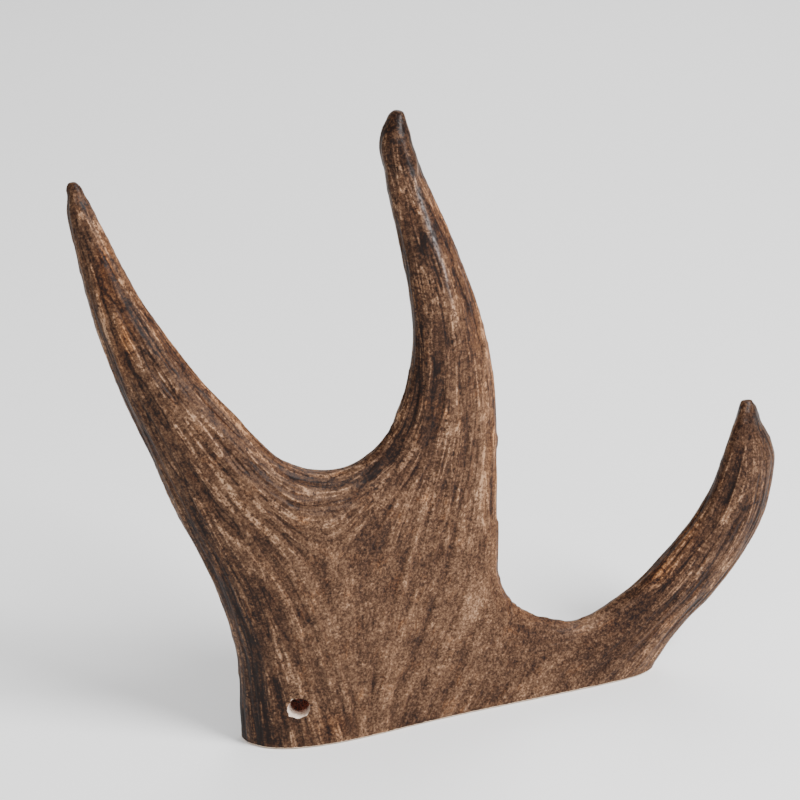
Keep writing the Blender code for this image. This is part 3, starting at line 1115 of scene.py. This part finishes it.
def paint_core(material):
    """Porous bone: pale and nearly closed under the front surface, dark red deeper in, with painted
    shade in its pores there.
    """
    n = Nodes(material)
    place = n.where()
    stir = n.add("ShaderNodeTexNoise")
    n.give(stir.inputs["Vector"], place)
    stir.inputs["Scale"].default_value = 1.0 / STIR_SIZE
    pores = n.add("ShaderNodeTexVoronoi", feature="DISTANCE_TO_EDGE")
    n.give(pores.inputs["Vector"], n.shift(place, stir.outputs["Color"], PORE_STIR))
    pores.inputs["Scale"].default_value = 1.0 / PORE
    wall = n.remap(pores.outputs["Distance"], 0.04, 0.22, 1.0, 0.0)
    ragged = n.maths("MULTIPLY_ADD", n.noise(place, 1.6 * MM, 3.0), 3.0 * MM, n.part(place, "Y"))
    red_from = hole_front + PALE_DEPTH
    deep = n.remap(ragged, red_from, red_from + PALE_FADE)
    red_bone = n.mix(n.noise(place, 6.0 * MM, 3.0), *RED_BONE)
    # Painted shade: the pores of the deep core are near black
    red_bone = n.mix(n.maths("SUBTRACT", 1.0, wall), red_bone, PORE_SHADE_COLOUR)
    pale_bone = n.mix(wall, *PALE_BONE)
    n.give(n.shader.inputs["Base Color"], n.mix(deep, pale_bone, red_bone))
    n.shader.inputs["Roughness"].default_value = 0.85
    n.bump(n.maths("MULTIPLY", wall, n.remap(deep, 0.0, 1.0, 0.15, 1.0)), 0.5 * MM)


paint_antler(antler_paint)
paint_saw_face(saw_paint)

core = frame["nodes"]["spongy_core"]
core_paint = bpy.data.materials.new("core_paint")
core_paint.use_nodes = True
paint_core(core_paint)
material_slots(core, core_paint)

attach(skin, "root")
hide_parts("cortex")


FLOOR_SIZE = 8.0
FLOOR_COLOUR = (0.95, 0.95, 0.95, 1.0)
WORLD_LIGHT = 0.72

# Soft lamps aimed at the antler: name, place and size (m), power (W)
LAMPS = (("key", (0.9, -0.55, 1.1), 0.7, 40.0),
         ("fill", (-0.5, -1.5, 0.8), 1.2, 7.0),
         ("back", (0.3, 1.4, 1.2), 1.2, 14.0))


def floor():
    bpy.ops.mesh.primitive_plane_add(size=FLOOR_SIZE)
    ground = bpy.context.object
    ground.name = "floor"
    paint = bpy.data.materials.new("floor_paint")
    paint.use_nodes = True
    shader = paint.node_tree.nodes["Principled BSDF"]
    shader.inputs["Base Color"].default_value = FLOOR_COLOUR
    shader.inputs["Roughness"].default_value = 0.7
    material_slots(ground, paint)
    return ground


def soft_lamp(name, place, size, power):
    lamp = bpy.data.lights.new(name, "AREA")
    lamp.shape = "DISK"
    lamp.size = size
    lamp.energy = power
    thing = bpy.data.objects.new(name, lamp)
    thing.location = place
    thing.rotation_euler = (Vector(AIM) - Vector(place)).to_track_quat("-Z", "Y").to_euler()
    bpy.context.scene.collection.objects.link(thing)
    return thing


stage = [floor()] + [soft_lamp(*lamp) for lamp in LAMPS]

world = bpy.data.worlds.new("studio")
world.use_nodes = True
sky = world.node_tree.nodes["Background"]
sky.inputs["Color"].default_value = (1.0, 1.0, 1.0, 1.0)
sky.inputs["Strength"].default_value = WORLD_LIGHT
bpy.context.scene.world = world

elevation = math.radians(CAMERA_ELEVATION)
camera = bpy.data.objects.new("camera", bpy.data.cameras.new("camera"))
camera.data.lens = CAMERA_LENS
camera.data.sensor_width = 36.0
camera.location = Vector(AIM) + CAMERA_DISTANCE * Vector(
    (0.0, -math.cos(elevation), math.sin(elevation)))
camera.rotation_euler = (math.radians(90.0) - elevation, 0.0, 0.0)
bpy.context.scene.collection.objects.link(camera)
bpy.context.scene.camera = camera

bpy.context.view_layer.update()
